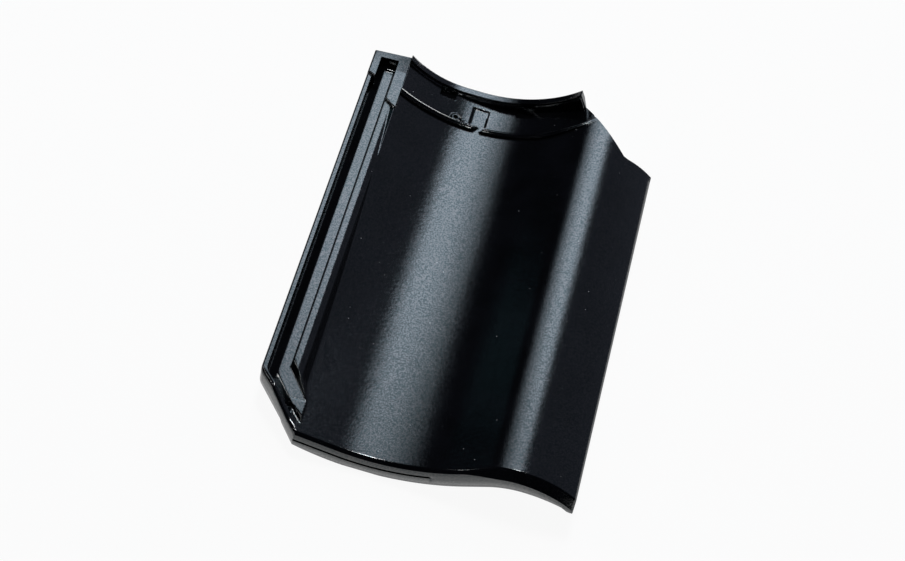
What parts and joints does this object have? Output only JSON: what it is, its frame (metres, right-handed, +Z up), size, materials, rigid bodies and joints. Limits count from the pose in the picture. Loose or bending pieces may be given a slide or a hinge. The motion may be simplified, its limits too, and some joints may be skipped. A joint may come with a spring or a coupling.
{
  "type": "interlocking clay roof tile",
  "caption": "Black glazed clay pantile with a side lock, a ribbed head lock, a roll on the right and two hanging nibs underneath.",
  "frame": {"origin": "centre of the tile's bounding box, on the floor that it lies on", "axes": "+Y from the nose (lower edge on the roof) to the head, +Z up through the glazed face, +X from the side lock to the roll"},
  "size_m": [0.26, 0.4006, 0.0674],
  "materials": {
    "black_glaze": "glossy black glaze"
  },
  "bodies": {
    "root": {"roof_tile": "black_glaze"}
  },
  "joints": []
}
